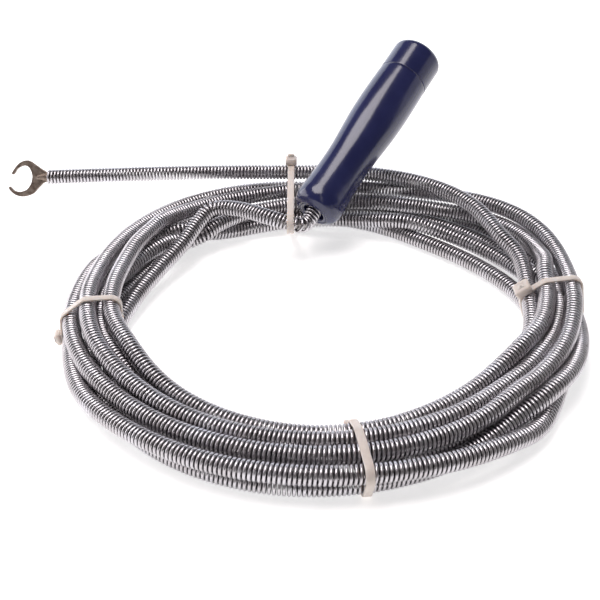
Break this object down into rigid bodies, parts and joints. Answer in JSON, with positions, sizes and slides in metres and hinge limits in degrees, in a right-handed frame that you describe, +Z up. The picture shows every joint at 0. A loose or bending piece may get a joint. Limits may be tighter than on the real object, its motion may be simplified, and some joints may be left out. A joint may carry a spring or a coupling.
{
  "type": "drain auger",
  "caption": "Drain auger: a long close-wound spring cable tied in a flat coil, with an open C-shaped claw at one end and a Z-bent crank with a spinning grip at the other.",
  "frame": {"origin": "middle of the footprint's bounding box, on the floor under the coil", "axes": "+X towards the viewer's right as the coil lies flat, with the claw pointing along -X; +Y away from the viewer, the way the handle leans; +Z up"},
  "size_m": [0.3208, 0.3087, 0.0986],
  "materials": {
    "spring_steel": "bright zinc-plated spring wire",
    "claw_steel": "brownish grey forged steel, slightly rough",
    "rod_steel": "plain drawn steel",
    "ring_steel": "dark spring steel",
    "grip_plastic": "glossy navy blue",
    "tie_plastic": "translucent cream nylon"
  },
  "bodies": {
    "auger": {"cable_coil": "spring_steel", "cable_tip": "spring_steel", "cable_crank": "spring_steel", "claw_head": "claw_steel", "crank_rod": "rod_steel", "retaining_ring": "ring_steel", "tie_left": "tie_plastic", "tie_front": "tie_plastic", "tie_right": "tie_plastic", "tie_back": "tie_plastic"},
    "handle": {"handle_sleeve": "grip_plastic", "handle_end_cap": "grip_plastic"},
    "lower_thrust": {"lower_washer": "rod_steel"},
    "upper_thrust": {"upper_washer": "rod_steel"}
  },
  "joints": [
    {"name": "handle_spin", "type": "hinge", "parent": "auger", "child": "handle", "pos_m": [0.0236, 0.057, 0.0262], "axis": [0.5141, 0.7076, 0.4848], "continuous": true},
    {"name": "lower_washer_spin", "type": "hinge", "parent": "auger", "child": "lower_thrust", "pos_m": [0.0236, 0.057, 0.0262], "axis": [0.5141, 0.7076, 0.4848], "continuous": true},
    {"name": "upper_washer_spin", "type": "hinge", "parent": "auger", "child": "upper_thrust", "pos_m": [0.0236, 0.057, 0.0262], "axis": [0.5141, 0.7076, 0.4848], "continuous": true}
  ]
}
